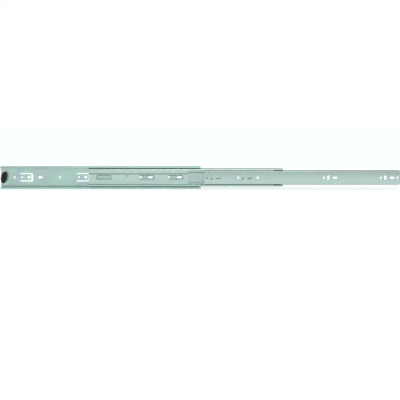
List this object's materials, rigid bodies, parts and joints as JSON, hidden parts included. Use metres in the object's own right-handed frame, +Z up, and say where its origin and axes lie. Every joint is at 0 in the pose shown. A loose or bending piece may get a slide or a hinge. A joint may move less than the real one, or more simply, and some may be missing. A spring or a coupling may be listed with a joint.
{
  "type": "cabinet drawer slide",
  "caption": "Full-extension ball-bearing drawer slide with three telescoping steel members, ball cages, rear bumper and front clips, shown open.",
  "frame": {"origin": "centre of the cabinet member's back face, on the screw line, half way along its length", "axes": "+X along the slide towards the opening side, +Y out of the back face into the cabinet's side panel, +Z up"},
  "size_m": [0.8, 0.0127, 0.045],
  "materials": {
    "cabinet_steel": "zinc plated and clear passivated, faint green and blue tints",
    "intermediate_steel": "zinc plated and clear passivated",
    "drawer_steel": "zinc plated and clear passivated, satin",
    "cage_steel": "thin zinc plated strip, blue tint",
    "ball_steel": "polished, lightly greased",
    "black_rubber": "moulded, matt",
    "black_plastic": "moulded, satin"
  },
  "bodies": {
    "cabinet": {"cabinet_member": "cabinet_steel", "rear_bumper": "black_rubber"},
    "outer_cage": {"outer_ball_cage": "cage_steel", "outer_ball_lower_01": "ball_steel", "outer_ball_lower_02": "ball_steel", "outer_ball_lower_03": "ball_steel", "outer_ball_lower_04": "ball_steel", "outer_ball_lower_05": "ball_steel", "outer_ball_lower_06": "ball_steel", "outer_ball_lower_07": "ball_steel", "outer_ball_lower_08": "ball_steel", "outer_ball_lower_09": "ball_steel", "outer_ball_lower_10": "ball_steel", "outer_ball_lower_11": "ball_steel", "outer_ball_lower_12": "ball_steel", "outer_ball_lower_13": "ball_steel", "outer_ball_lower_14": "ball_steel", "outer_ball_lower_15": "ball_steel", "outer_ball_lower_16": "ball_steel", "outer_ball_lower_17": "ball_steel", "outer_ball_upper_01": "ball_steel", "outer_ball_upper_02": "ball_steel", "outer_ball_upper_03": "ball_steel", "outer_ball_upper_04": "ball_steel", "outer_ball_upper_05": "ball_steel", "outer_ball_upper_06": "ball_steel", "outer_ball_upper_07": "ball_steel", "outer_ball_upper_08": "ball_steel", "outer_ball_upper_09": "ball_steel", "outer_ball_upper_10": "ball_steel", "outer_ball_upper_11": "ball_steel", "outer_ball_upper_12": "ball_steel", "outer_ball_upper_13": "ball_steel", "outer_ball_upper_14": "ball_steel", "outer_ball_upper_15": "ball_steel", "outer_ball_upper_16": "ball_steel", "outer_ball_upper_17": "ball_steel"},
    "intermediate": {"intermediate_member": "intermediate_steel", "front_clip_upper": "black_plastic", "front_clip_lower": "black_plastic"},
    "inner_cage": {"inner_ball_cage": "cage_steel", "inner_ball_lower_01": "ball_steel", "inner_ball_lower_03": "ball_steel", "inner_ball_lower_05": "ball_steel", "inner_ball_lower_06": "ball_steel", "inner_ball_lower_08": "ball_steel", "inner_ball_lower_10": "ball_steel", "inner_ball_lower_11": "ball_steel", "inner_ball_lower_13": "ball_steel", "inner_ball_lower_15": "ball_steel", "inner_ball_upper_01": "ball_steel", "inner_ball_upper_03": "ball_steel", "inner_ball_upper_05": "ball_steel", "inner_ball_upper_06": "ball_steel", "inner_ball_upper_08": "ball_steel", "inner_ball_upper_10": "ball_steel", "inner_ball_upper_11": "ball_steel", "inner_ball_upper_13": "ball_steel", "inner_ball_upper_15": "ball_steel"},
    "drawer": {"drawer_member": "drawer_steel"}
  },
  "joints": [
    {"name": "intermediate_slide", "type": "slide", "parent": "cabinet", "child": "intermediate", "axis": [1, 0, 0], "range_m": [-0.162, 0]},
    {"name": "drawer_slide", "type": "slide", "parent": "intermediate", "child": "drawer", "axis": [1, 0, 0], "range_m": [-0.238, 0]},
    {"name": "outer_cage_slide", "type": "slide", "parent": "cabinet", "child": "outer_cage", "axis": [1, 0, 0], "range_m": [-0.081, 0]},
    {"name": "inner_cage_slide", "type": "slide", "parent": "intermediate", "child": "inner_cage", "axis": [1, 0, 0], "range_m": [-0.119, 0]}
  ],
  "couplings": [
    {"joint": "outer_cage_slide", "follows": "intermediate_slide", "ratio": 0.5},
    {"joint": "inner_cage_slide", "follows": "drawer_slide", "ratio": 0.5}
  ]
}
